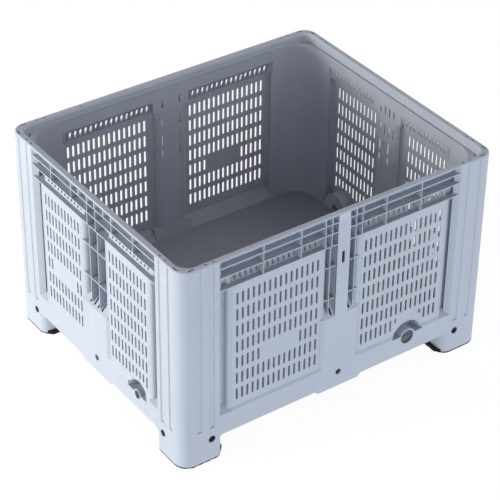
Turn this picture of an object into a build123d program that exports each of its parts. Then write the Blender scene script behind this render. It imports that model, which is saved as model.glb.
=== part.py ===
from build123d import *
import math
import os

# A perforated harvest box on four legs. X runs along the long walls, Z is up,
# and the origin lies under the middle of the box, on the ground. Sizes are in millimetres.

# Whole box, on a standard pallet footprint
length = 1200
width = 1000
height = 750
corner_radius = 48

# Moulded thicknesses
skin = 4
rib = 3
shell = 6

# Depths into a wall, measured from its outer plane
rib_three_depth = 2
panel_depth = 6
sill_depth = 18.5
skin_depth = 30
wall_depth = skin_depth + skin
rim_depth = 26
cell_rib_depth = 7

# Places along a wall, measured from the corner or from the middle
post_width = 138
flange = 16
flange_step = 4
panel_from_corner = 176
column_half = 72
field_half = 66
strip_half = 22
cell_rib_place = 46

# Heights
leg_bottom = 6
leg_top = 87
floor_top = 124
skirt_top = 164
panel_bottom = 173
trench_top = 177
field_top = 370
slope_top = 405
panel_top = 640
sill_top = 684
band_plate_top = 687
ledge_top = 722
shell_top = 745
column_rib_tops = (442, 559)

# Vent slots: upright slots in rows, written as spans of rows that share one opening
slot_width = 8
slot_height = 44
slot_pitch = 20
row_pitch = 61
lowest_row = 218
first_column = 93
row_spans = ((0, 1), (2, 2), (3, 4), (5, 6))
label_row_span = (2, 2)
label_columns = 7
strip_slot_bottom = 561
strip_slot_height = 46

# Posts, legs and soles
groove_places = (64, 112)
groove_width = 18
groove_depth = 3.5
groove_bottom = 130
post_web_place = 129
inner_radius = 95
leg_width = 156
leg_edge_radius = 32
leg_wall = 6
leg_plate = 5
leg_hole_place = 110
leg_hole_height = 86
leg_hole_radius = 12.5
cove_radius = 28
ledge_slit_place = 46
ledge_slit_length = 14
ledge_slit_width = 5
ledge_slit_spread = 10
tongue_width = 32
tongue_thickness = 4
tongue_top = 102
tongue_gap = 0.5
stud_radius = 12
stud_length = 5.5
sole_width = 166
sole_turn = 45
sole_corner_radius = 24
lip_top = 15
lip_gap = 0.5
tread_depth = 2.5
tread_bars = 6
collar_width = 118
collar_height = 14

# Rim
rim_inner_radius = 35
rim_edge = 3.5
rim_inner_edge = 6
rim_hole_places = ((44.5, 21), (96, 9), (125, 9))
rim_hole_depth = 11
rim_hole_width = 5
rim_vent_place = 340
rim_vent_depth = 17
rim_vent_length = 8

# Floor, skirt and the pockets that leave a grid of ribs under the floor
floor_depth = 48
sill_foot = 160
deck = 5
skirt = 6
pocket_columns = 7
pocket_rows = 6
border_pocket = 120
border_pitch = 130
border_depth = 20
border_top = 140
tab_half = 80
tab_drop = 12
eye_radius = 11
eye_height = 132

# Drains: place along the wall, height, bore, spout, niche, its floor and the clear ring below the slots
long_drain = dict(place=283, rise=150, bore=26, spout=31, niche=62, floor=159, clear=88)
short_drain = dict(place=243, rise=141, bore=15, spout=19.5, niche=53, floor=146, clear=67)
niche_depth = 46
niche_draft = 17
plug_depth = 4
plug_length = 20
plug_dish = 2
plug_gap = 0.5
seal_gap = 0.1
seal_width = 6
seal_section = 3.4
running_gap = 0.3

# Each wall is drawn with its outer plane at Y = 0 and its inside towards +Y, then placed
wall_places = {
    "front": Location((0, -width / 2, 0)),
    "right": Location((length / 2, 0, 0), (0, 0, 90)),
    "rear": Location((0, width / 2, 0), (0, 0, 180)),
    "left": Location((-length / 2, 0, 0), (0, 0, 270)),
}
# Each post is drawn with its outer corner at the origin and the box towards +X and +Y
post_places = {
    "front_left": Location((-length / 2, -width / 2, 0)),
    "front_right": Location((length / 2, -width / 2, 0), (0, 0, 90)),
    "rear_right": Location((length / 2, width / 2, 0), (0, 0, 180)),
    "rear_left": Location((-length / 2, width / 2, 0), (0, 0, 270)),
}


def slot_openings(side, columns, label_first, drain):
    """Centre and size of every vent slot in the panel on one side of a wall's middle."""
    openings = []
    for first, last in row_spans:
        top = lowest_row + last * row_pitch + slot_height / 2
        for column in range(columns):
            if side < 0 and (first, last) == label_row_span and 0 <= column - label_first < label_columns:
                continue
            place = first_column + column * slot_pitch
            bottom = lowest_row + first * row_pitch - slot_height / 2
            from_drain = abs(place - drain["place"])
            if side > 0 and from_drain < drain["clear"]:
                bottom = max(bottom, drain["rise"] + math.sqrt(drain["clear"] ** 2 - from_drain ** 2))
            openings.append(((side * place, (bottom + top) / 2), top - bottom))
    return openings


def build_wall(half_span, columns, band_ribs, label_first, drain, has_strip):
    """One side wall: two slotted panels, the ribbed band above them and the centre column."""
    panel_end = half_span - panel_from_corner
    post_edge = half_span - post_width
    flange_end = post_edge - flange
    column_front = 0 if has_strip else cell_rib_depth
    with BuildPart() as wall:
        for side in (-1, 1):
            # Slotted panel, with the ledge at its foot, the sill at its head and the skin above
            with BuildSketch(Plane.YZ.offset(side * column_half)):
                with BuildLine():
                    Polyline(
                        (0, skirt_top),
                        (panel_depth, panel_bottom),
                        (panel_depth, panel_top),
                        (sill_depth, panel_top),
                        (skin_depth, sill_top),
                        (skin_depth, ledge_top),
                        (wall_depth, ledge_top),
                        (wall_depth, sill_top),
                        (sill_depth + skin, panel_top - skin),
                        (panel_depth + skin, panel_top - skin),
                        (panel_depth + skin, skirt_top),
                        close=True,
                    )
                make_face()
            extrude(amount=side * (panel_end - column_half))
            # Plates that close the two sides of the recess behind the panel
            for place, direction in ((column_half, side), (panel_end, -side)):
                with BuildSketch(Plane.YZ.offset(side * place)):
                    with BuildLine():
                        Polyline(
                            (panel_depth, skirt_top),
                            (panel_depth, panel_top),
                            (sill_depth, panel_top),
                            (skin_depth, sill_top),
                            (wall_depth, sill_top),
                            (wall_depth, skirt_top),
                            close=True,
                        )
                    make_face()
                extrude(amount=direction * skin)
            # Third rib of the band, where it bridges the trench beside the post
            with BuildSketch(Plane.XY.offset(panel_top - skin)):
                with BuildLine():
                    Polyline(
                        (side * panel_end, rib_three_depth),
                        (side * (post_edge - rib_three_depth), rib_three_depth),
                        (side * flange_end, flange),
                        (side * flange_end, skin_depth),
                        (side * panel_end, skin_depth),
                        close=True,
                    )
                make_face()
            extrude(amount=skin)
        # Inner skin of the centre column
        with BuildSketch(Plane.XY.offset(skirt_top)):
            with Locations((0, skin_depth + skin / 2)):
                Rectangle(2 * column_half, skin)
        extrude(amount=ledge_top - skirt_top)
        # First and second ribs of the band, shaped to the slanted flanges of the posts
        for top in (ledge_top, band_plate_top):
            with BuildSketch(Plane.XY.offset(top - skin)):
                with BuildLine():
                    Polyline(
                        (-post_edge, 0),
                        (post_edge, 0),
                        (flange_end, flange),
                        (flange_end, skin_depth),
                        (-flange_end, skin_depth),
                        (-flange_end, flange),
                        close=True,
                    )
                make_face()
            extrude(amount=skin)
        # Lip of the third rib along both panels and across the centre column
        with BuildSketch(Plane.XY.offset(panel_top - skin)):
            with Locations((0, rib_three_depth)):
                Rectangle(2 * panel_end, panel_depth - rib_three_depth, align=(Align.CENTER, Align.MIN))
                Rectangle(2 * column_half, skin_depth - rib_three_depth, align=(Align.CENTER, Align.MIN))
        extrude(amount=skin)
        # Upright ribs of the band
        for place in band_ribs:
            for side in (-1, 1):
                with BuildSketch(Plane.YZ.offset(side * place)):
                    with BuildLine():
                        Polyline(
                            (0, panel_top),
                            (0, ledge_top),
                            (skin_depth, ledge_top),
                            (skin_depth, sill_top),
                            (sill_depth, panel_top),
                            close=True,
                        )
                    make_face()
                extrude(amount=rib / 2, both=True)
        # Upright ribs of the centre column, down to its sloped foot
        column_ribs = (strip_half - rib / 2, cell_rib_place) if has_strip else (strip_half,)
        for place in column_ribs:
            for side in (-1, 1):
                with BuildSketch(Plane.YZ.offset(side * place)):
                    with BuildLine():
                        Polyline(
                            (column_front, field_top),
                            (column_front, ledge_top),
                            (skin_depth, ledge_top),
                            (skin_depth, field_top),
                            close=True,
                        )
                    make_face()
                extrude(amount=rib / 2, both=True)
        # Level ribs of the centre column
        for top in column_rib_tops:
            with BuildSketch(Plane.XY.offset(top - skin)):
                with Locations((0, column_front)):
                    Rectangle(2 * column_half, skin_depth - column_front, align=(Align.CENTER, Align.MIN))
            extrude(amount=skin)
        # Plain field under the centre column, with slanted sides, and the slope that closes it
        field_root = column_half + skin / 2
        with BuildSketch(Plane.XY.offset(skirt_top)):
            with BuildLine():
                Polyline(
                    (-field_half, 0),
                    (field_half, 0),
                    (field_root, panel_depth),
                    (field_root, panel_depth + skin / 2),
                    (-field_root, panel_depth + skin / 2),
                    (-field_root, panel_depth),
                    close=True,
                )
            make_face()
        extrude(amount=field_top - skirt_top)
        with BuildSketch(Plane.YZ):
            with BuildLine():
                Polyline(
                    (0, field_top - skin),
                    (0, field_top),
                    (skin_depth, slope_top),
                    (skin_depth, slope_top - skin),
                    close=True,
                )
            make_face()
        extrude(amount=column_half, both=True)
        if has_strip:
            # Flat strip down the middle, with one slot in it
            with BuildSketch(Plane.XZ):
                with Locations((0, field_top)):
                    Rectangle(2 * strip_half, ledge_top - field_top, align=(Align.CENTER, Align.MIN))
                with Locations((0, strip_slot_bottom)):
                    Rectangle(slot_width, strip_slot_height, align=(Align.CENTER, Align.MIN), mode=Mode.SUBTRACT)
            extrude(amount=-skin)
        # Vent slots of both panels
        with BuildSketch(Plane.XZ):
            for side in (-1, 1):
                for centre, tall in slot_openings(side, columns, label_first, drain):
                    with Locations(centre):
                        Rectangle(slot_width, tall)
        extrude(amount=-(panel_depth + 2 * skin), mode=Mode.SUBTRACT)
        # Arched notch around the drain niche
        with BuildSketch(Plane.XZ):
            with Locations((drain["place"], drain["rise"])):
                Circle(drain["niche"] + skin + running_gap)
        extrude(amount=-wall_depth, mode=Mode.SUBTRACT)
    return wall.part


def across_diagonal(points):
    """The same points on the other face of a post, which is alike on both sides of its diagonal."""
    return [(along, into) for into, along in points]


def leg_outline():
    """Plan of a leg: a square with a wide outer edge and three tighter ones."""
    with BuildSketch() as plan:
        Rectangle(leg_width, leg_width, align=(Align.MIN, Align.MIN))
        fillet(plan.vertices().sort_by(Axis((0, 0, 0), (1, 1, 0)))[0], corner_radius)
        others = plan.vertices().filter_by(lambda v: max(v.X, v.Y) > leg_width - 1)
        fillet(others, leg_edge_radius)
    return plan.sketch


def build_post():
    """One hollow corner post with its grooved faces, inner skin, webs and leg."""
    arc_end = wall_depth + inner_radius
    skin_outer = inner_radius + skin
    with BuildPart() as post:
        # Outer shell
        with BuildSketch(Plane.XY.offset(leg_top)):
            with BuildLine():
                Line((0, post_width), (0, corner_radius))
                RadiusArc((0, corner_radius), (corner_radius, 0), -corner_radius)
                Line((corner_radius, 0), (post_width, 0))
                offset(amount=shell, side=Side.LEFT)
            make_face()
        extrude(amount=shell_top - leg_top)
        # Slanted flange at each end of the shell, above the skirt
        flange_plan = (
            (post_width, 0),
            (post_width + flange, flange),
            (post_width + flange - flange_step, flange + flange_step),
            (post_width - flange_step, flange_step),
        )
        with BuildSketch(Plane.XY.offset(skirt_top)):
            for plan in (flange_plan, across_diagonal(flange_plan)):
                with BuildLine():
                    Polyline(*plan, close=True)
                make_face()
        extrude(amount=shell_top - skirt_top)
        # Inner skin, which rounds the inside corner of the box
        with BuildSketch(Plane.XY.offset(skirt_top)):
            with BuildLine():
                Polyline((arc_end, skin_depth), (panel_from_corner, skin_depth), (panel_from_corner, wall_depth),
                         (arc_end, wall_depth))
                RadiusArc((arc_end, wall_depth), (wall_depth, arc_end), inner_radius)
                Polyline((wall_depth, arc_end), (wall_depth, panel_from_corner), (skin_depth, panel_from_corner),
                         (skin_depth, arc_end))
                RadiusArc((skin_depth, arc_end), (arc_end, skin_depth), -skin_outer)
            make_face()
        extrude(amount=ledge_top - skirt_top)
        # Webs between the shell and the skin
        with BuildSketch(Plane.XY.offset(skirt_top)):
            web_length = skin_depth + skin / 2 - shell / 2
            with Locations((post_web_place, shell / 2)):
                Rectangle(skin, web_length, align=(Align.CENTER, Align.MIN))
            with Locations((shell / 2, post_web_place)):
                Rectangle(web_length, skin, align=(Align.MIN, Align.CENTER))
        extrude(amount=ledge_top - skirt_top)
        # Ledge plate that closes the top of the post under the rim
        with BuildSketch(Plane.XY.offset(ledge_top - skin)):
            with BuildLine():
                Polyline((flange, post_width + flange), (0, post_width), (0, corner_radius))
                RadiusArc((0, corner_radius), (corner_radius, 0), -corner_radius)
                Polyline((corner_radius, 0), (post_width, 0), (post_width + flange, flange),
                         (post_width + flange, skin_depth), (panel_from_corner, skin_depth),
                         (panel_from_corner, wall_depth), (arc_end, wall_depth))
                RadiusArc((arc_end, wall_depth), (wall_depth, arc_end), inner_radius)
                Polyline((wall_depth, arc_end), (wall_depth, panel_from_corner), (skin_depth, panel_from_corner),
                         (skin_depth, post_width + flange), (flange, post_width + flange))
            make_face()
        extrude(amount=skin)
        # Two slits in the ledge, across the inside corner
        with BuildSketch(Plane.XY.offset(ledge_top)):
            with Locations(Location((ledge_slit_place, ledge_slit_place, 0), (0, 0, -45))):
                with Locations((-ledge_slit_spread, 0), (ledge_slit_spread, 0)):
                    Rectangle(ledge_slit_length, ledge_slit_width)
        extrude(amount=-skin, mode=Mode.SUBTRACT)
        # Sloped bottoms of the two trenches beside the post
        wedge = ((0, skirt_top), (skin_depth, skirt_top), (skin_depth, trench_top))
        with BuildSketch(Plane.YZ.offset(post_width)):
            with BuildLine():
                Polyline(*wedge, close=True)
            make_face()
        extrude(amount=panel_from_corner - post_width)
        with BuildSketch(Plane((0, post_width, 0), x_dir=(1, 0, 0), z_dir=(0, -1, 0))):
            with BuildLine():
                Polyline(*wedge, close=True)
            make_face()
        extrude(amount=-(panel_from_corner - post_width))
        # Leg: a box with rounded edges, open below and closed by a plate under the floor
        with BuildSketch(Plane.XY.offset(leg_bottom)):
            add(leg_outline())
        extrude(amount=leg_top - leg_bottom)
        with BuildSketch(Plane.XY.offset(leg_bottom)):
            offset(leg_outline(), amount=-leg_wall)
        extrude(amount=leg_top - leg_plate - leg_bottom, mode=Mode.SUBTRACT)
        # Coves that round the leg into the foot of the skirt
        cove_start = leg_width - leg_edge_radius + skin
        cove_foot = (cove_start, leg_top - cove_radius)
        cove_end = (cove_start + cove_radius, leg_top)
        for plane, into in ((Plane.XZ, -skirt), (Plane.YZ, skirt)):
            with BuildSketch(plane):
                with BuildLine():
                    Polyline(cove_foot, (cove_start, leg_top), cove_end)
                    RadiusArc(cove_end, cove_foot, -cove_radius)
                make_face()
            extrude(amount=into)
        # Slits in the leg plate for the tongues of the sole
        tongue_slit = tongue_thickness + 2 * tongue_gap
        with BuildSketch(Plane.XY.offset(leg_top)):
            with Locations((leg_hole_place, leg_wall)):
                Rectangle(tongue_width + 2 * tongue_gap, tongue_slit, align=(Align.CENTER, Align.MIN))
            with Locations((leg_wall, leg_hole_place)):
                Rectangle(tongue_slit, tongue_width + 2 * tongue_gap, align=(Align.MIN, Align.CENTER))
        extrude(amount=-leg_plate, mode=Mode.SUBTRACT)
        # Two grooves down each outer face, with slanted sides
        groove_floor = groove_width / 2 - groove_depth
        with BuildSketch(Plane.XY.offset(groove_bottom)):
            for place in groove_places:
                groove_plan = (
                    (place - groove_width / 2, 0),
                    (place + groove_width / 2, 0),
                    (place + groove_floor, groove_depth),
                    (place - groove_floor, groove_depth),
                )
                for plan in (groove_plan, across_diagonal(groove_plan)):
                    with BuildLine():
                        Polyline(*plan, close=True)
                    make_face()
        extrude(amount=shell_top - groove_bottom, mode=Mode.SUBTRACT)
        # Holes that hold the studs of the sole
        with BuildSketch(Plane.XZ):
            with Locations((leg_hole_place, leg_hole_height)):
                Circle(leg_hole_radius)
        extrude(amount=-leg_wall, mode=Mode.SUBTRACT)
        with BuildSketch(Plane.YZ):
            with Locations((leg_hole_place, leg_hole_height)):
                Circle(leg_hole_radius)
        extrude(amount=leg_wall, mode=Mode.SUBTRACT)
    return post.part


def build_sole():
    """One black sole: a treaded plate with a lip round the leg, a collar inside it and two tongues."""
    with BuildPart() as sole:
        # The plate is flush with the leg outside and spreads beyond its two inner sides
        with BuildSketch(Plane.XY.offset(tread_depth)) as plan:
            with BuildLine():
                outside = Line((corner_radius, 0), (leg_width - leg_edge_radius, 0))
                edge = JernArc(outside @ 1, (1, 0), leg_edge_radius, sole_turn)
                spread = (sole_width - (edge @ 1).X) / math.cos(math.radians(sole_turn))
                slant = PolarLine(edge @ 1, spread, sole_turn)
                inside = Line(slant @ 1, (sole_width, sole_width - sole_corner_radius))
                mirror(about=Plane((0, 0, 0), x_dir=(1, 1, 0), z_dir=(1, -1, 0)))
                RadiusArc((0, corner_radius), (corner_radius, 0), -corner_radius)
                RadiusArc(inside @ 1, (sole_width - sole_corner_radius, sole_width), -sole_corner_radius)
            make_face()
        extrude(amount=leg_bottom - tread_depth)
        # Lip that rises round the two inner sides of the leg
        with BuildSketch(Plane.XY.offset(leg_bottom)):
            add(plan.sketch.moved(Location((0, 0, -tread_depth))))
            offset(leg_outline(), amount=lip_gap, mode=Mode.SUBTRACT)
        extrude(amount=lip_top - leg_bottom)
        # Tread bars under the plate
        bar_pitch = sole_width / tread_bars
        with BuildSketch():
            add(offset(plan.sketch.moved(Location((0, 0, -tread_depth))), amount=-1, mode=Mode.PRIVATE))
            for gap in range(1, tread_bars):
                with Locations((gap * bar_pitch, sole_width / 2)):
                    Rectangle(bar_pitch / 2, sole_width, mode=Mode.SUBTRACT)
        extrude(amount=tread_depth)
        # Collar that centres the sole inside the leg
        with BuildSketch(Plane.XY.offset(leg_bottom)):
            with Locations((leg_width / 2, leg_width / 2)):
                Rectangle(collar_width, collar_width)
                Rectangle(collar_width - 2 * skin, collar_width - 2 * skin, mode=Mode.SUBTRACT)
        extrude(amount=collar_height)
        # Tongues that reach up to the holes of the leg, each with a round stud that fills its hole
        tongue_place = leg_wall + tongue_gap
        with BuildSketch(Plane.XY.offset(leg_bottom)):
            with Locations((leg_hole_place, tongue_place)):
                Rectangle(tongue_width, tongue_thickness, align=(Align.CENTER, Align.MIN))
            with Locations((tongue_place, leg_hole_place)):
                Rectangle(tongue_thickness, tongue_width, align=(Align.MIN, Align.CENTER))
        extrude(amount=tongue_top - leg_bottom)
        for plane, outwards in ((Plane.XZ.offset(-tongue_place), 1), (Plane.YZ.offset(tongue_place), -1)):
            with BuildSketch(plane):
                with Locations((leg_hole_place, leg_hole_height)):
                    Circle(stud_radius)
            extrude(amount=outwards * stud_length)
    return sole.part


def build_plug(drain):
    """One push-in drain bung on its bore axis, with a groove for the seal and a bar to pull it by."""
    outer = drain["bore"] - plug_gap
    groove = drain["bore"] - seal_gap - seal_section
    groove_start = plug_depth + (plug_length - seal_width) / 2
    bar_height = drain["bore"] / 4
    with BuildPart() as plug:
        with BuildSketch(Plane.XY):
            with BuildLine():
                Polyline(
                    (0, plug_depth),
                    (outer, plug_depth),
                    (outer, groove_start),
                    (groove, groove_start),
                    (groove, groove_start + seal_width),
                    (outer, groove_start + seal_width),
                    (outer, plug_depth + plug_length),
                    (0, plug_depth + plug_length),
                    close=True,
                )
            make_face()
        revolve(axis=Axis.Y)
        # Shallow dish in the outer face, crossed by the pull bar
        with BuildSketch(Plane.XZ.offset(-plug_depth)):
            Circle(outer - skin)
            Rectangle(2 * outer, bar_height, mode=Mode.SUBTRACT)
        extrude(amount=-plug_dish, mode=Mode.SUBTRACT)
    return plug.part


def build_seal(drain):
    """The rubber ring in the groove of a drain bung."""
    outer = drain["bore"] - seal_gap
    groove_start = plug_depth + (plug_length - seal_width) / 2
    with BuildPart() as seal:
        with BuildSketch(Plane.XY):
            with Locations((outer - seal_section / 2, groove_start + seal_width / 2)):
                Rectangle(seal_section, seal_width)
        revolve(axis=Axis.Y)
    return seal.part


def build_niche(drain):
    """The arched hollow round one drain, which narrows inwards and opens with upright sides through the skirt."""
    wide = 3 * drain["niche"]
    with BuildPart() as hollow:
        with BuildSketch(Plane.XZ):
            with Locations((drain["place"], drain["rise"])):
                Circle(drain["niche"])
        extrude(amount=-niche_depth, taper=niche_draft)
        with BuildSketch(Plane.XZ):
            with Locations((drain["place"], drain["floor"])):
                Rectangle(wide, wide, align=(Align.CENTER, Align.MAX))
        extrude(amount=-niche_depth, mode=Mode.SUBTRACT)
        with BuildSketch(Plane.XZ):
            with Locations((drain["place"], drain["floor"])):
                Rectangle(2 * drain["niche"], skirt_top - drain["floor"], align=(Align.CENTER, Align.MIN))
        extrude(amount=-skirt)
    return hollow.part


def side_plane(name, depth=0):
    """Upright sketch plane of one side of the box: X along the wall, Y up, facing outwards."""
    place = Plane(wall_places[name])
    outwards = -place.y_dir
    return Plane(place.origin, x_dir=place.x_dir, z_dir=outwards).offset(-depth)


def profile_plane(name, along):
    """Upright sketch plane across one side of the box: X into the box, Y up."""
    place = Plane(wall_places[name])
    return Plane(place.origin + place.x_dir * along, x_dir=place.y_dir, z_dir=place.x_dir)


half_spans = {"front": length / 2, "rear": length / 2, "left": width / 2, "right": width / 2}
drains = {"front": long_drain, "rear": long_drain, "left": short_drain, "right": short_drain}

# Base: the floor tray with its skirt, the drain niches and spouts, and the ribs under the floor
with BuildPart() as base:
    with BuildSketch(Plane.XY.offset(leg_top)):
        Rectangle(length - 2 * post_width, width)
        Rectangle(length, width - 2 * post_width)
        RectangleRounded(length - 2 * skin_depth, width - 2 * skin_depth, inner_radius + skin)
    extrude(amount=skirt_top - leg_top)
    # Tray with slanted sides
    with BuildSketch(Plane.XY.offset(skirt_top)) as tray_mouth:
        RectangleRounded(length - 2 * wall_depth, width - 2 * wall_depth, inner_radius)
    tray_drop = skirt_top - floor_top
    tray_slant = math.degrees(math.atan((floor_depth - wall_depth) / tray_drop))
    extrude(amount=-tray_drop, taper=tray_slant, mode=Mode.SUBTRACT)
    # Sloped sill under each slotted panel
    for name, half_span in half_spans.items():
        sill_length = half_span - panel_from_corner - column_half - 2 * skin
        for side in (-1, 1):
            with BuildSketch(profile_plane(name, side * (column_half + skin))):
                with BuildLine():
                    Polyline(
                        (panel_depth + skin, sill_foot),
                        (panel_depth + skin, skirt_top),
                        (floor_depth, skirt_top),
                        (floor_depth, floor_top),
                        close=True,
                    )
                make_face()
            extrude(amount=side * sill_length, mode=Mode.SUBTRACT)
    # Grid of pockets under the floor
    pocket_pitch_x = (length - 2 * floor_depth) / pocket_columns
    pocket_pitch_y = (width - 2 * floor_depth) / pocket_rows
    with BuildSketch(Plane.XY.offset(leg_top)):
        with GridLocations(pocket_pitch_x, pocket_pitch_y, pocket_columns, pocket_rows):
            Rectangle(pocket_pitch_x - rib, pocket_pitch_y - rib)
    extrude(amount=floor_top - deck - leg_top, mode=Mode.SUBTRACT)
    for name, half_span in half_spans.items():
        drain = drains[name]
        # Pockets behind the skirt, clear of the spout
        reach = int((half_span - post_width - border_pocket / 2) // border_pitch)
        with BuildSketch(Plane.XY.offset(leg_top)):
            for step in range(-reach, reach + 1):
                place = step * border_pitch
                if abs(place - drain["place"]) > border_pocket / 2 + drain["spout"] + skin:
                    spot = wall_places[name] * Location((place, (skirt + border_depth) / 2, 0))
                    with Locations(spot):
                        Rectangle(border_pocket, border_depth - skirt)
        extrude(amount=border_top - leg_top, mode=Mode.SUBTRACT)
        # Eye through the middle of the skirt and the tab that hangs below it
        with BuildSketch(side_plane(name)):
            with BuildLine():
                Polyline(
                    (-tab_half - tab_drop, leg_top),
                    (-tab_half, leg_top - tab_drop),
                    (tab_half, leg_top - tab_drop),
                    (tab_half + tab_drop, leg_top),
                    close=True,
                )
            make_face()
        extrude(amount=-skirt)
        with BuildSketch(side_plane(name)):
            with Locations((0, eye_height)):
                Circle(eye_radius)
        extrude(amount=-skirt, mode=Mode.SUBTRACT)
        # Block under the niche, where the sill stops
        niche_outer = drain["niche"] + skin
        with BuildSketch(side_plane(name, panel_depth + skin)):
            with Locations((drain["place"], floor_top)):
                Rectangle(2 * niche_outer, skirt_top - floor_top, align=(Align.CENTER, Align.MIN))
        extrude(amount=-(niche_depth - panel_depth))
        # Arched niche above the skirt, with a back plate
        with BuildSketch(side_plane(name, panel_depth)):
            with Locations((drain["place"], drain["rise"])):
                Circle(niche_outer)
            with Locations((drain["place"], skirt_top)):
                Rectangle(3 * niche_outer, 3 * niche_outer, align=(Align.CENTER, Align.MAX), mode=Mode.SUBTRACT)
        extrude(amount=-(niche_depth + skin - panel_depth))
        with Locations(wall_places[name]):
            add(build_niche(drain), mode=Mode.SUBTRACT)
        # Spout with its bore through to the floor
        with BuildSketch(side_plane(name)):
            with Locations((drain["place"], drain["rise"])):
                Circle(drain["spout"])
        extrude(amount=-(niche_depth + skin))
        with BuildSketch(side_plane(name)):
            with Locations((drain["place"], drain["rise"])):
                Circle(drain["bore"])
        extrude(amount=-(niche_depth + 2 * skin), mode=Mode.SUBTRACT)

# Walls: the long pair has a flat strip up its centre column, the short pair has open cells
long_band_ribs = (302.5, 163)
short_band_ribs = (240, 118)
long_wall = build_wall(length / 2, 16, long_band_ribs, 4, long_drain, True)
short_wall = build_wall(width / 2, 11, short_band_ribs, 2, short_drain, False)
pieces = {"base": base.part}
for name, place in wall_places.items():
    with BuildPart() as side_wall:
        with Locations(place):
            add(long_wall if drains[name] is long_drain else short_wall)
    pieces[f"{name}_wall"] = side_wall.part

# Corner posts, each with its leg, and the black sole under each leg
post = build_post()
sole = build_sole()
for name, place in post_places.items():
    with BuildPart() as corner_post:
        with Locations(place):
            add(post)
    with BuildPart() as foot_sole:
        with Locations(place):
            add(sole)
    pieces[f"corner_post_{name}"] = corner_post.part
    pieces[f"foot_sole_{name}"] = foot_sole.part

# Top rim: a rounded ring that ties walls and posts together, with its own short upright ribs
with BuildPart() as top_rim:
    with BuildSketch(Plane.XY.offset(shell_top)):
        RectangleRounded(length, width, corner_radius)
        RectangleRounded(
            length - 2 * rim_depth, width - 2 * rim_depth, rim_inner_radius, mode=Mode.SUBTRACT,
        )
    extrude(amount=height - shell_top)
    with BuildSketch(Plane.XY.offset(ledge_top)):
        band_depth = rim_depth - skin
        RectangleRounded(length - 2 * band_depth, width - 2 * band_depth, rim_inner_radius + skin)
        RectangleRounded(
            length - 2 * rim_depth, width - 2 * rim_depth, rim_inner_radius, mode=Mode.SUBTRACT,
        )
    extrude(amount=height - ledge_top)
    chamfer(top_rim.faces().sort_by(Axis.Z)[-1].outer_wire().edges(), rim_edge)
    chamfer(top_rim.faces().sort_by(Axis.Z)[-1].inner_wires()[0].edges(), rim_inner_edge)
    # Upright ribs over those of the walls
    for name in wall_places:
        long_side = drains[name] is long_drain
        places = (*long_band_ribs, column_half, cell_rib_place, strip_half - rib / 2)
        if not long_side:
            places = (*short_band_ribs, column_half, strip_half)
        with BuildSketch(Plane.XY.offset(ledge_top)):
            for place in places:
                for side in (-1, 1):
                    spot = wall_places[name] * Location((side * place, (band_depth + skin / 2) / 2, 0))
                    with Locations(spot):
                        Rectangle(rib, band_depth + skin / 2)
        extrude(amount=shell_top - ledge_top)
        if long_side:
            # Front of the centre strip, carried on up to the rim
            with BuildSketch(Plane.XY.offset(ledge_top)):
                with Locations(wall_places[name] * Location((0, skin / 2, 0))):
                    Rectangle(2 * strip_half, skin)
            extrude(amount=shell_top - ledge_top)
    # Core holes in the top of the rim, at each corner and along the long sides
    with BuildSketch(Plane.XY.offset(height)):
        for name in ("front", "rear"):
            for side in (-1, 1):
                with Locations(wall_places[name] * Location((side * rim_vent_place, rim_vent_depth, 0))):
                    Rectangle(rim_vent_length, rim_hole_width)
        for place in post_places.values():
            for along, long in rim_hole_places:
                with Locations(place * Location((along, rim_hole_depth, 0))):
                    Rectangle(long, rim_hole_width)
                with Locations(place * Location((rim_hole_depth, along, 0))):
                    Rectangle(rim_hole_width, long)
    extrude(amount=-(height - shell_top), mode=Mode.SUBTRACT)
pieces["top_rim"] = top_rim.part

# Drain bungs and their rubber rings
for name, drain in drains.items():
    axis_place = wall_places[name] * Location((drain["place"], 0, drain["rise"]))
    with BuildPart() as drain_plug:
        with Locations(axis_place):
            add(build_plug(drain))
    with BuildPart() as drain_seal:
        with Locations(axis_place):
            add(build_seal(drain))
    pieces[f"drain_plug_{name}"] = drain_plug.part
    pieces[f"drain_seal_{name}"] = drain_seal.part

os.makedirs("parts", exist_ok=True)
for name, piece in pieces.items():
    piece.label = name
    export_step(piece, f"parts/{name}.step")
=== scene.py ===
import bmesh
import bpy
import math
from mathutils import Matrix, Vector
from types import SimpleNamespace


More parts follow.
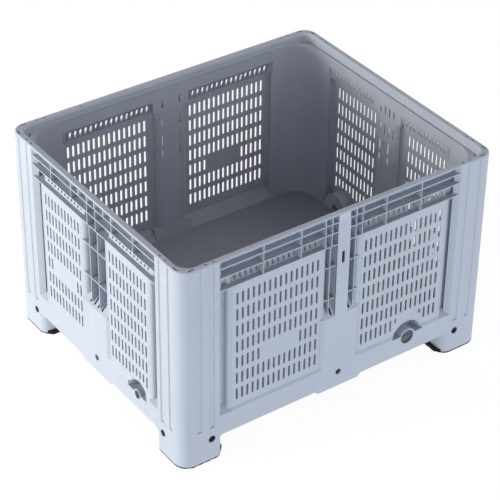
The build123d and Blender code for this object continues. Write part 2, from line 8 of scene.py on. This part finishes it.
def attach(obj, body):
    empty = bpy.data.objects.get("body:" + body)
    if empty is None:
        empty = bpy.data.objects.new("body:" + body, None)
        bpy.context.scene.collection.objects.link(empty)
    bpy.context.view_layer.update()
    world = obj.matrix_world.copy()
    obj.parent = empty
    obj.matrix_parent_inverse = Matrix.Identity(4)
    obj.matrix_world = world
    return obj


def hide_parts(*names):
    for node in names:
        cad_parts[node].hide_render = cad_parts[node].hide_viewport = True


# A perforated harvest box on four legs, put together from the ground up. Everything stands
# in the frame of the solids: metres, X along the long walls, Z up, the ground at Z = 0.
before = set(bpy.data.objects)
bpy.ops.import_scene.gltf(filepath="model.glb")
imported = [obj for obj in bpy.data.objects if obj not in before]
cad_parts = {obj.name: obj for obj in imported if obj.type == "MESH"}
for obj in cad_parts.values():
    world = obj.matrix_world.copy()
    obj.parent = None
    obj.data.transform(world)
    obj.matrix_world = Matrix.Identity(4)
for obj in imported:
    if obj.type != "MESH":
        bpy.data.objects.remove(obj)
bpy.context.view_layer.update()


# Base: the floor tray and the plain skirt round it, injection moulded in light blue-grey
# polyethylene. The grain of the mould shows on every face, with faint flow marks up the sides.
# The floor is painted darker with shade, and the sloped foot of the walls round it a little less.
class Paint:
    """A socket of a material, on which plain arithmetic adds Math nodes."""

    def __init__(self, tree, socket=None):
        self.tree = tree
        self.socket = socket

    def make(self, kind, settings, sockets, output=0):
        """A new node: its type, its settings, then the values or links of its sockets."""
        node = self.tree.nodes.new(kind)
        for name, value in settings.items():
            setattr(node, name, value)
        for name, value in sockets.items():
            if isinstance(value, Paint):
                self.tree.links.new(value.socket, node.inputs[name])
            else:
                node.inputs[name].default_value = value
        return Paint(self.tree, node.outputs[output])

    def math(self, operation, first, second):
        return self.make("ShaderNodeMath", {"operation": operation}, {0: first, 1: second})

    def __add__(self, other):
        return self.math("ADD", self, other)

    def __radd__(self, other):
        return self.math("ADD", other, self)

    def __sub__(self, other):
        return self.math("SUBTRACT", self, other)

    def __rsub__(self, other):
        return self.math("SUBTRACT", other, self)

    def __mul__(self, other):
        return self.math("MULTIPLY", self, other)

    def __rmul__(self, other):
        return self.math("MULTIPLY", other, self)

    def spread(self, low, high, start=0.0, end=1.0):
        """The value taken from low..high to start..end, and held there."""
        return self.make(
            "ShaderNodeMapRange", {"clamp": True},
            {"Value": self, "From Min": low, "From Max": high, "To Min": start, "To Max": end},
        )

    def blend(self, factor, first, second):
        """A colour between two colours."""
        return self.make(
            "ShaderNodeMix", {"data_type": "RGBA"}, {"Factor": factor, 6: first, 7: second}, 2,
        )


def new_material(name):
    """A plain material: itself, its Paint, its shader node and the place on the surface, in metres."""
    material = bpy.data.materials.new(name)
    material.use_nodes = True
    tree = material.node_tree
    shader = tree.nodes["Principled BSDF"]
    paint = Paint(tree)
    place = paint.make("ShaderNodeTexCoord", {}, {}, "Object")
    return material, paint, shader, place


flow_stretch = (55.0, 55.0, 2.2)
grain_depth = 0.0004


def moulded_plastic(name, tone, deep, pale, roughness, grain, shine=0.35):
    """Moulded plastic: cloudy tone, upright flow marks, rubbed patches and a fine leathery grain."""
    material, paint, shader, place = new_material(name)
    clouds = paint.make("ShaderNodeTexNoise", {}, {"Vector": place, "Scale": 4.0, "Detail": 3.0})
    stretched = paint.make("ShaderNodeVectorMath", {"operation": "MULTIPLY"}, {0: place, 1: flow_stretch})
    flow = paint.make("ShaderNodeTexNoise", {}, {"Vector": stretched, "Scale": 1.0, "Detail": 2.0})
    rubbed = paint.make("ShaderNodeTexNoise", {}, {"Vector": place, "Scale": 26.0, "Detail": 6.0})
    speckle = paint.make("ShaderNodeTexNoise", {}, {"Vector": place, "Scale": 900.0, "Detail": 2.0})
    shading = clouds * 0.6 + flow * 0.4
    colour = paint.blend(shading.spread(0.35, 0.65), deep, tone)
    colour = paint.blend(rubbed.spread(0.56, 0.8, 0.0, 0.5), colour, pale)
    finish = roughness + (rubbed - 0.5) * 0.16 + (speckle - 0.5) * 0.1
    bump = paint.make(
        "ShaderNodeBump", {}, {"Strength": grain, "Distance": grain_depth, "Height": speckle},
    )
    shader.inputs["Specular IOR Level"].default_value = shine
    for socket, value in (("Base Color", colour), ("Roughness", finish), ("Normal", bump)):
        paint.tree.links.new(value.socket, shader.inputs[socket])
    return material


shell_plastic = moulded_plastic(
    "shell_plastic", (0.49, 0.525, 0.59, 1), (0.46, 0.495, 0.56, 1), (0.535, 0.57, 0.63, 1),
    roughness=0.46, grain=0.12,
)
# Darker copies of the shell plastic that paint shade: this deeper one on the box's floor and on the sides
# of webs in the wall pockets
deep_shade_plastic = moulded_plastic(
    "deep_shade_plastic", (0.315, 0.335, 0.395, 1), (0.28, 0.3, 0.36, 1), (0.355, 0.375, 0.435, 1),
    roughness=0.58, grain=0.15,
)
# A lighter darkening that paints shade on faces that look up, in the recesses of the walls and round the
# box's floor.
shade_plastic = moulded_plastic(
    "shade_plastic", (0.415, 0.44, 0.5, 1), (0.39, 0.415, 0.475, 1), (0.45, 0.475, 0.535, 1),
    roughness=0.55, grain=0.12,
)


def dress(node, material):
    """Gives a solid its finish."""
    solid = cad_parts[node]
    solid.data.materials.clear()
    solid.data.materials.append(material)
    return solid


# Least part of a face's normal that points straight up, or straight out, on a flat face
flat_lean = 0.9


def paint_shade_upward(mesh, material, low, high, lean=flat_lean):
    """Paints shade on the faces that look up, between two heights in metres, as a darker finish."""
    mesh.materials.append(material)
    finish = len(mesh.materials) - 1
    for face in mesh.polygons:
        if face.normal.z > lean and low < face.center.z < high:
            face.material_index = finish


floor_low, floor_high = 0.12, 0.13
cove_high, cove_lean = 0.163, 0.2
# The box's floor and its sloped foot are painted darker with shade.
tray = dress("base", shell_plastic).data
paint_shade_upward(tray, shade_plastic, floor_low, cove_high, cove_lean)
paint_shade_upward(tray, deep_shade_plastic, floor_low, floor_high)

# Corner posts: hollow grooved posts of the same plastic, each ending in a leg with a round hole
# in both outer faces.
corners = ("front_left", "front_right", "rear_right", "rear_left")
for corner in corners:
    dress(f"corner_post_{corner}", shell_plastic)

# Soles: treaded plates of black plastic pushed into the legs from below. The studs that hold
# them show black in the round holes of the legs.
sole_plastic = moulded_plastic(
    "sole_plastic", (0.012, 0.012, 0.013, 1), (0.008, 0.008, 0.009, 1), (0.02, 0.02, 0.021, 1),
    roughness=0.6, grain=0.3, shine=0.12,
)
for corner in corners:
    dress(f"foot_sole_{corner}", sole_plastic)

# Walls: each is one moulding of the same plastic, held between two posts, with two slotted
# panels, a ribbed band above them and an open centre column of cells. All sizes here are in
# millimetres, with the outer plane at Y = 0 and the inside of the box towards +Y, until placed.
MM = 0.001
# Turns of a web: upright along the wall, level, and upright across the wall
UPRIGHT = Matrix(((1, 0, 0), (0, 0, -1), (0, 1, 0)))
LEVEL = Matrix.Identity(3)
ACROSS = Matrix(((0, 0, 1), (1, 0, 0), (0, 1, 0)))
# Finishes of a web's flat sides: the plain plastic, and a darker one that paints shade in the pockets
PLAIN, SHADE_PAINTED = 0, 1

# Half the length and half the width of the box
half_length, half_width = 600, 500
# Thicknesses, and the lap by which one web runs into the next
skin, rib, lap = 4.0, 3.0, 1.0
# Depths into the wall: plain field, third rib of the band, slotted panel, foot of the sill, inner skin
field_y, third_y, panel_y, sill_y, skin_y = 0.2, 2.0, 6.0, 18.5, 30.0
# Heights: skirt, slotted sheet, ledge at its foot, foot of the trench beside the post
skirt_z, sheet_foot, ledge_top, trench_top = 164.0, 165.0, 173.0, 188.0
# Heights: third rib of the band, top of the sill, second rib, first rib, level ribs of the column
panel_z, sill_z, band_z, ledge_z = 640.0, 684.0, 687.0, 722.0
cell_ribs = (436.0, 559.0)
# Half widths: centre column, front and root of the plain field, flat strip, inner skin
column_x, field_x, field_side, strip_x, inner_x = 72.0, 66.0, 74.0, 24.0, 46.0
# Rolled edges of the panels: place and radius by the column, radius by the post
roll_x, roll_r, end_r = 56.0, 20.0, 14.0
# Ends of the rolled edge, the panel and the post, from the corner of the box, and the post's flange
roll_inset, panel_inset, post_inset, flange = 171, 176, 138, 16.0
# Upright ribs beside the strip of a long wall: in the column, with their lip, and in the band
side_rib_x, side_rib_y, band_rib_x = 48.5, 4.5, (46, 70.5)
# Slots of the panels: their rows and half height, their places, and the patch of a row left plain
slot_rows, first_row, row_pitch, slot_reach = 7, 218, 61, 22
first_slot, slot_pitch, shortest_slot = 93, 20, 9
patch_row, patch_slots = 2, 7
# Slots of the sill and of the drained slope, from end to end up the slope, and of the strip
sill_slot, drain_slot, strip_slot = (6, 36), (7, 36), (561, 607)
drain_half, strip_half = 3.5, 5.5
# Vents of the column: middle and length of each, and their half width
vent_rows, vent_half = ((663, 30), (587, 40), (521, 40), (464, 40)), 3.0
# Round end of the sill, at its foot and at its top, and taper of the drain's niche in degrees
sill_round, sill_flat, niche_draft = 12.0, 0.3, 17


def arc(x, y, radius, start, end, steps=6):
    """Points on a circle, from one angle to another, in degrees."""
    angles = (math.radians(start + (end - start) * step / steps) for step in range(steps + 1))
    return [(x + radius * math.cos(a), y + radius * math.sin(a)) for a in angles]


def slot(x, bottom, top, half=4.0):
    """Outline of an upright slot with round ends."""
    return arc(x, bottom + half, half, 180, 360, steps=5) + arc(x, top - half, half, 0, 180, steps=5)


def bar(left, right, bottom, top):
    """Outline of a plain rectangle."""
    return [(left, bottom), (right, bottom), (right, top), (left, top)]


def both_ways(half):
    """Outline drawn on the right, closed by its mirror image on the left."""
    return half + [(-x, y) for x, y in reversed(half)]


def climb(run, rise):
    """Turn of a web that climbs into the wall, the way its outer face looks, and its length."""
    slope = Vector((0, run, rise))
    along = slope.normalized()
    outwards = Vector((1, 0, 0)).cross(along)
    return Matrix((Vector((1, 0, 0)), along, outwards)).transposed(), outwards, slope.length


def add_web(mould, turn, offset, outlines, thick, edge=0.6, sides=PLAIN):
    """A flat web with softened edges: the first outline is its rim, the others are openings in it."""
    curve = bpy.data.curves.new("web", "CURVE")
    curve.dimensions = "2D"
    curve.fill_mode = "BOTH"
    curve.extrude = thick / 2 - edge
    curve.bevel_depth = edge
    curve.bevel_resolution = 0
    curve.offset = -edge
    for outline in outlines:
        spline = curve.splines.new("POLY")
        spline.points.add(len(outline) - 1)
        for point, (u, v) in zip(spline.points, outline):
            point.co = (u, v, 0, 1)
        spline.use_cyclic_u = True
    web = bpy.data.objects.new("web", curve)
    mesh = bpy.data.meshes.new_from_object(web)
    for face in mesh.polygons:
        if abs(face.normal.z) > flat_lean:
            face.material_index = sides
    mesh.transform(Matrix.Translation(offset) @ turn.to_4x4())
    mould.from_mesh(mesh)
    bpy.data.meshes.remove(mesh)
    bpy.data.objects.remove(web)
    bpy.data.curves.remove(curve)


def add_loft(mould, rings):
    """A closed body through rings of points, one after the other."""
    rows = [[mould.verts.new(point) for point in ring] for ring in rings]
    count = len(rows[0])
    faces = [mould.faces.new(rows[0]), mould.faces.new(rows[-1])]
    for lower, upper in zip(rows, rows[1:]):
        for i in range(count):
            j = (i + 1) % count
            faces.append(mould.faces.new((lower[i], lower[j], upper[j], upper[i])))
    bmesh.ops.recalc_face_normals(mould, faces=faces)


def add_panel(mould, kind, side):
    """The slotted sheet: round the drain's niche on the right, with a plain patch on the left."""
    slots = []
    for row in range(slot_rows):
        middle = first_row + row_pitch * row
        top = middle + slot_reach
        for column in range(kind.columns):
            if side < 0 and row == patch_row and 0 <= column - kind.patch_first < patch_slots:
                continue
            x = first_slot + slot_pitch * column
            bottom = middle - slot_reach
            if side > 0 and row == 0:
                bottom = kind.raised_slots.get(x, bottom)
            if top - bottom > shortest_slot:
                slots.append(slot(side * x, bottom, top))
    inner, outer = side * (roll_x + roll_r), side * (kind.roll_end - end_r)
    sheet = [(outer, panel_z - lap), (inner, panel_z - lap), (inner, sheet_foot)]
    if side > 0:
        reach = kind.niche + skin
        tilt = math.degrees(math.asin((sheet_foot - kind.drain_z) / reach))
        sheet += arc(kind.drain_x, kind.drain_z, reach, 180 - tilt, tilt, steps=20)
    sheet += [(outer, sheet_foot)]
    add_web(mould, UPRIGHT, (0, panel_y + skin / 2, 0), [sheet] + slots, skin, edge=0.5)


def edge_profile(place, facing, radius, seat):
    """Plan of a panel's rolled edge: over the edge, back into the wall and out along the inner skin."""
    foot_r = skin_y - panel_y - radius
    inner_r = radius - skin
    points = arc(-radius, panel_y + radius, radius, -90, 0, steps=10)
    points += arc(foot_r, skin_y - foot_r, foot_r, 180, 90)
    points += [(foot_r, skin_y + lap), (seat, skin_y + lap)]
    points += [(seat, skin_y + skin), (seat - skin, skin_y + skin)]
    points += arc(-skin - inner_r, panel_y + skin + inner_r, inner_r, 0, -90, steps=10)
    points += [(-radius - lap, panel_y + skin), (-radius - lap, panel_y)]
    return [(place + facing * x, y) for x, y in points]


def add_rolled_edges(mould, kind, side):
    """The edges of a panel, rolled back into the wall beside the centre column and beside the post."""
    by_column = edge_profile(side * roll_x, -side, roll_r, roll_x - inner_x)
    by_post = edge_profile(side * kind.roll_end, side, end_r, kind.panel_end - kind.roll_end)
    for edge in (by_column, by_post):
        add_loft(mould, [[(x, y, height) for x, y in edge] for height in (skirt_z, panel_z - lap)])


def add_ledge(mould, kind, side):
    """The sloped ledge at the foot of a panel, open where the drain's niche runs through it."""
    section = [(0, skirt_z), (panel_y, ledge_top), (panel_y + lap, ledge_top), (panel_y + lap, skirt_z)]
    ends = [[side * field_x] * 4, [side * (kind.roll_end - end_r)] * 4]
    if side > 0:
        narrow = kind.niche - panel_y * math.tan(math.radians(niche_draft))
        back = math.sqrt(narrow ** 2 - (ledge_top - kind.drain_z) ** 2)
        gaps = [kind.niche, back, back, kind.niche]
        ends[1:1] = [[kind.drain_x - gap for gap in gaps], [kind.drain_x + gap for gap in gaps]]
    for start, end in zip(ends[::2], ends[1::2]):
        add_loft(mould, [[(x, y, z) for x, (y, z) in zip(places, section)] for places in (start, end)])


def add_trench_foot(mould, kind, side):
    """The sloped foot of the trench between panel and post, run on into the post's flange."""
    ramp = [(0, skirt_z), (skin_y + lap, trench_top), (skin_y + lap, skirt_z)]
    buried = [kind.post_edge + 2 * lap - min(y, flange) for y, z in ramp]
    add_loft(mould, [
        [(side * (kind.roll_end - end_r), y, z) for y, z in ramp],
        [(side * x, y, z) for x, (y, z) in zip(buried, ramp)],
    ])


def add_sill(mould, kind, side):
    """The band's third rib with the shelf behind it, and the sloped, slotted sill with its round end."""
    near, far = column_x - 2 * lap, kind.post_edge - flange
    shelf = [
        (near, third_y), (kind.post_edge - third_y, third_y), (far, flange), (far, skin_y),
        (kind.panel_end, skin_y), (kind.panel_end, sill_y + skin), (near, sill_y + skin),
    ]
    add_web(mould, LEVEL, (0, 0, panel_z - skin / 2), [[(side * x, y) for x, y in shelf]], skin)
    turn, outwards, length = climb(skin_y - sill_y, sill_z - panel_z)
    start = Vector((0, sill_y, panel_z)) - outwards * skin / 2
    round_x = kind.panel_end - sill_round
    sill = [bar(side * column_x, side * round_x, -2 * lap, length)]
    for column in range(kind.columns):
        sill.append(slot(side * (first_slot + slot_pitch * column), *sill_slot))
    # On a long wall the sill's flat sides are painted darker with shade.
    add_web(mould, turn, start, sill, skin, edge=0.4, sides=SHADE_PAINTED if kind.strip else PLAIN)
    rings = []
    inside, back_y = sill_round - skin, skin_y + skin
    angles = [math.radians(90 - 15 * step) for step in range(7)]
    for height, deep in ((panel_z - lap, sill_round), (sill_z, sill_flat)):
        ring = [(sill_round * math.cos(a), skin_y - deep * math.sin(a)) for a in angles]
        ring += [(inside * math.cos(a), back_y - deep * math.sin(a)) for a in reversed(angles)]
        rings.append([(side * (round_x + x), y, height) for x, y in ring])
    add_loft(mould, rings)


def add_band_back(mould, kind, side):
    """The inner skin behind the band, and the upright ribs that stand on it."""
    backing = bar(side * column_x, side * kind.panel_end, sill_z - 2 * lap, ledge_z)
    add_web(mould, UPRIGHT, (0, skin_y + skin / 2, 0), [backing], skin, edge=0.3)
    root, foot, head = skin_y + lap, band_z - 2 * lap, ledge_z - lap
    profile = [(0, foot), (0, head), (root, head), (root, foot)]
    if kind.strip:
        foot = panel_z - 2 * lap
        profile = [(0, foot), (0, head), (root, head), (root, sill_z), (sill_y + lap, foot)]
    # On a short wall the band's upright ribs have their sides painted darker with shade.
    sides = PLAIN if kind.strip else SHADE_PAINTED
    for place in kind.band_ribs:
        add_web(mould, ACROSS, (side * place, 0, 0), [profile], rib, sides=sides)


def add_band_ribs(mould, kind):
    """First and second ribs of the band, cut to the slanted flanges of the posts and round the strip."""
    for top in (ledge_z, band_z):
        far = kind.post_edge - flange
        plan = both_ways([(kind.post_edge, 0), (far, flange), (far, skin_y + lap)])
        if kind.strip:
            notch, notch_y = strip_x - lap, skin - lap
            plan += [(-notch, 0), (-notch, notch_y), (notch, notch_y), (notch, 0)]
        add_web(mould, LEVEL, (0, 0, top - skin / 2), [plan], skin)


# Plan of the column's side, where its level ribs and its drained slope die into the rolled edge
roll_line = arc(roll_x + roll_r, panel_y + roll_r, roll_r - skin / 2, 260, 180) + [(roll_x, skin_y + lap)]


def add_column(mould, kind):
    """The inner skin of the centre column with its vents, and the ribs of its cells."""
    vents = []
    for x in kind.vents:
        for middle, tall in vent_rows:
            vents.append(slot(x, middle - tall / 2, middle + tall / 2, vent_half))
    neck, root, crown = inner_x + lap, skin_y + lap, ledge_z - lap
    waist = [(neck, skirt_z), (neck, panel_z - 3 * lap), (column_x, panel_z - 3 * lap), (column_x, ledge_z)]
    add_web(mould, UPRIGHT, (0, skin_y + skin / 2, 0), [both_ways(waist)] + vents, skin, edge=0.4)
    add_web(mould, LEVEL, (0, 0, panel_z - skin / 2), [bar(-column_x, column_x, third_y, root)], skin)
    for top in cell_ribs:
        level = both_ways([(column_x - 2 * lap, kind.lip)] + roll_line)
        add_web(mould, LEVEL, (0, 0, top - skin / 2), [level], skin)
    under, over = panel_z - lap, panel_z - 2 * lap
    # Some ribs of the column have their sides painted darker with shade.
    if kind.strip:
        uprights = [
            (strip_x - rib / 2, lap, kind.field_z, crown, PLAIN),
            (side_rib_x, side_rib_y, kind.field_z, under, SHADE_PAINTED),
        ]
        uprights += [(place, 0, over, crown, PLAIN) for place in band_rib_x]
    else:
        uprights = [(strip_x, kind.lip, kind.field_z, under, SHADE_PAINTED), (strip_x, 0, over, crown, SHADE_PAINTED)]
    for place, lip, bottom, top, sides in uprights:
        for side in (-1, 1):
            add_web(mould, ACROSS, (side * place, 0, 0), [bar(lip, root, bottom, top)], rib, sides=sides)


def add_field(mould, kind):
    """The plain field under the column, its drained slope, and the strip that runs on up a long wall."""
    field = both_ways([(field_x, field_y), (field_side, panel_y), (field_side, panel_y + skin - lap)])
    tall = kind.field_z - skirt_z
    add_web(mould, LEVEL, (0, 0, skirt_z + tall / 2), [field], tall, edge=0.0)
    turn, outwards, length = climb(skin_y, kind.slope_z - kind.field_z)
    start = Vector((0, 0, kind.field_z)) - outwards * skin / 2
    slope = both_ways([(column_x, 0)] + [(x, y * length / skin_y) for x, y in roll_line])
    drains = [slot(x, *drain_slot, drain_half) for x in kind.vents]
    add_web(mould, turn, start, [slope] + drains, skin, edge=0.8)
    front = [bar(-field_x, field_x, skirt_z, kind.field_z)]
    if kind.strip:
        half = [(field_x, skirt_z), (field_x, kind.field_z), (strip_x, kind.field_z), (strip_x, ledge_z)]
        front = [both_ways(half), slot(0, *strip_slot, strip_half)]
    add_web(mould, UPRIGHT, (0, skin / 2, 0), front, skin, edge=0.0)


def build_wall(kind):
    """The whole moulding of one wall."""
    kind.roll_end = kind.half_span - roll_inset
    kind.panel_end = kind.half_span - panel_inset
    kind.post_edge = kind.half_span - post_inset
    mould = bmesh.new()
    for side in (-1, 1):
        add_panel(mould, kind, side)
        add_rolled_edges(mould, kind, side)
        add_ledge(mould, kind, side)
        add_trench_foot(mould, kind, side)
        add_sill(mould, kind, side)
        add_band_back(mould, kind, side)
    add_band_ribs(mould, kind)
    add_column(mould, kind)
    add_field(mould, kind)
    return mould


# Long and short walls. The slots of the lowest row that stand over the drain's niche start higher,
# and those that would be too short are left out.
long_wall = build_wall(SimpleNamespace(
    half_span=half_length, columns=16, patch_first=4, band_ribs=(302.5, 163), strip=True, lip=6.5,
    vents=(-35, 35), field_z=365.0, slope_z=405.0, drain_x=283, drain_z=150, niche=62,
    raised_slots={233: 222, 253: 240, 273: 240, 293: 240, 313: 240, 333: 222},
))
short_wall = build_wall(SimpleNamespace(
    half_span=half_width, columns=11, patch_first=2, band_ribs=(240, 118), strip=False, lip=5.5,
    vents=(-34, -11, 11, 34), field_z=331.0, slope_z=363.0, drain_x=243, drain_z=141, niche=53,
    raised_slots={213: 207, 233: 207, 253: 207, 273: 207},
))
smooth_below = math.radians(38)
shade_low, shade_high = 0.2, 0.73
for name, wall, offset, turned in (
    ("front", long_wall, (0, -half_width * MM, 0), 0), ("right", short_wall, (half_length * MM, 0, 0), 90),
    ("rear", long_wall, (0, half_width * MM, 0), 180), ("left", short_wall, (-half_length * MM, 0, 0), 270),
):
    mesh = bpy.data.meshes.new(f"{name}_wall_moulding")
    wall.to_mesh(mesh)
    mesh.materials.append(shell_plastic)
    # The second finish of a wall paints shade on the sides of webs in its pockets.
    mesh.materials.append(deep_shade_plastic)
    heading = Matrix.Rotation(math.radians(turned), 4, "Z")
    mesh.transform(Matrix.Translation(offset) @ heading @ Matrix.Scale(MM, 4))
    mesh.shade_smooth()
    mesh.set_sharp_from_angle(angle=smooth_below)
    # Faces that look up in the recesses of the walls are painted darker with shade.
    paint_shade_upward(mesh, shade_plastic, shade_low, shade_high)
    piece = bpy.data.objects.new(f"{name}_wall_moulding", mesh)
    bpy.context.scene.collection.objects.link(piece)
    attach(piece, "box")
    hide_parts(f"{name}_wall")

# Top rim: a rounded ring of the same plastic, welded on top of the walls and posts, coloured in a
# paler, bluer copy of it that paints light on its top.
lit_rim_plastic = moulded_plastic(
    "lit_rim_plastic", (0.53, 0.575, 0.66, 1), (0.495, 0.54, 0.625, 1), (0.58, 0.625, 0.705, 1),
    roughness=0.44, grain=0.12,
)
dress("top_rim", lit_rim_plastic)

# Drain bungs: darker push-in stoppers of plastic in the four spouts, each sealed by a ring of
# black rubber on its stem.
bung_plastic = moulded_plastic(
    "bung_plastic", (0.12, 0.125, 0.14, 1), (0.1, 0.105, 0.12, 1), (0.16, 0.165, 0.175, 1),
    roughness=0.5, grain=0.15,
)
ring_rubber = moulded_plastic(
    "ring_rubber", (0.012, 0.012, 0.013, 1), (0.008, 0.008, 0.009, 1), (0.02, 0.02, 0.022, 1),
    roughness=0.7, grain=0.2,
)
for side in ("front", "rear", "left", "right"):
    dress(f"drain_plug_{side}", bung_plastic)
    dress(f"drain_seal_{side}", ring_rubber)

# Studio: a white table and surround. Soft light comes up from the table, most of it at the front
# and the rear left, and down from high on the right, and a broad lamp stands at the left. What the
# camera and the shine of the plastic see of the surround is plain white.
scene = bpy.context.scene
scene.view_settings.view_transform = "Standard"
world = bpy.data.worlds.new("studio")
world.use_nodes = True
scene.world = world
tree = world.node_tree
paint = Paint(tree)
way = paint.make("ShaderNodeTexCoord", {}, {}, "Generated")
softness = 8.0
glow = 0.02
# Soft lights of the surround: turn from +X and rise from level, in degrees, and strength
for turned, raised, power in (
    (270, -12, 2.5), (225, -12, 0.95), (135, -35, 1.5), (315, -35, 0.68), (0, -12, 0.8), (45, -12, 0.5),
    (180, -12, 0.62), (180, 12, 0.22), (270, 12, 0.15), (0, 60, 1.25), (0, 90, 0.16), (90, 35, 0.1),
):
    turned, raised = math.radians(turned), math.radians(raised)
    reach = math.cos(raised)
    source = (reach * math.cos(turned), reach * math.sin(turned), math.sin(raised))
    facing = paint.make("ShaderNodeVectorMath", {"operation": "DOT_PRODUCT"}, {0: way, 1: source}, "Value")
    glow = glow + power * paint.math("EXPONENT", (facing - 1) * softness, 0.0)
rays = paint.make("ShaderNodeLightPath", {}, {}).socket.node
seen = Paint(tree, rays.outputs["Is Camera Ray"])
for ray in ("Is Glossy Ray", "Is Transmission Ray"):
    seen = seen.math("MAXIMUM", seen, Paint(tree, rays.outputs[ray]))
strength = glow + seen * (1 - glow)
low_tint, high_tint, white = (0.92, 1.0, 1.1, 1), (1.03, 0.985, 1.0, 1), (1, 1, 1, 1)
up = paint.make("ShaderNodeSeparateXYZ", {}, {"Vector": way}, "Z")
tint = paint.blend(up.spread(-0.1, 0.6), low_tint, high_tint)
tint = paint.blend(seen, tint, white)
backdrop = tree.nodes["Background"]
tree.links.new(tint.socket, backdrop.inputs["Color"])
tree.links.new(strength.socket, backdrop.inputs["Strength"])

floor_reach = 30.0
floor_mesh = bpy.data.meshes.new("studio_floor")
floor_mesh.from_pydata(
    [(x, y, 0) for x, y in bar(-floor_reach, floor_reach, -floor_reach, floor_reach)], [], [(0, 1, 2, 3)],
)
floor = bpy.data.objects.new("studio_floor", floor_mesh)
scene.collection.objects.link(floor)
for ray in ("diffuse", "glossy", "transmission", "shadow"):
    setattr(floor, f"visible_{ray}", False)
material, paint, shader, place = new_material("studio_floor")
shader.inputs["Base Color"].default_value = (0.8, 0.8, 0.8, 1)
shader.inputs["Roughness"].default_value = 0.9
tree = paint.tree
table_glow, table_share = 1.1, 0.85
bright = paint.make("ShaderNodeEmission", {}, {"Color": white, "Strength": table_glow})
seen = paint.make("ShaderNodeLightPath", {}, {}, "Is Camera Ray")
lit = Paint(tree, shader.outputs["BSDF"])
mixed = paint.make("ShaderNodeMixShader", {}, {"Fac": seen * table_share, 1: lit, 2: bright})
tree.links.new(mixed.socket, tree.nodes["Material Output"].inputs["Surface"])
floor_mesh.materials.append(material)

key = bpy.data.lights.new("key", "AREA")
key.shape = "RECTANGLE"
key.size, key.size_y = 3.0, 1.6
key.energy = 325
key.color = (1.03, 1.0, 0.94)
key_stand = bpy.data.objects.new("key", key)
scene.collection.objects.link(key_stand)
key_from, key_to = Vector((-5.5, 2.3, 1.3)), Vector((0, 0, 0.4))
key_stand.location = key_from
key_stand.rotation_euler = (key_from - key_to).to_track_quat("Z", "Y").to_euler()

# Camera: a long lens where the photograph was taken from, high in front of the near left corner,
# with the slight roll that the photograph has.
view = bpy.data.cameras.new("photo_view")
view.lens = 138.61
view.sensor_width = 36.0
camera = bpy.data.objects.new("photo_view", view)
scene.collection.objects.link(camera)
stand = (-3.0493, -4.2643, 4.0042)
yaw, pitch, roll = (math.radians(angle) for angle in (35.601, 35.108, 0.715))
camera.matrix_world = (
    Matrix.Translation(stand)
    @ Matrix.Rotation(-yaw, 4, "Z")
    @ Matrix.Rotation(math.pi / 2 - pitch, 4, "X")
    @ Matrix.Rotation(roll, 4, "Z")
)
scene.camera = camera
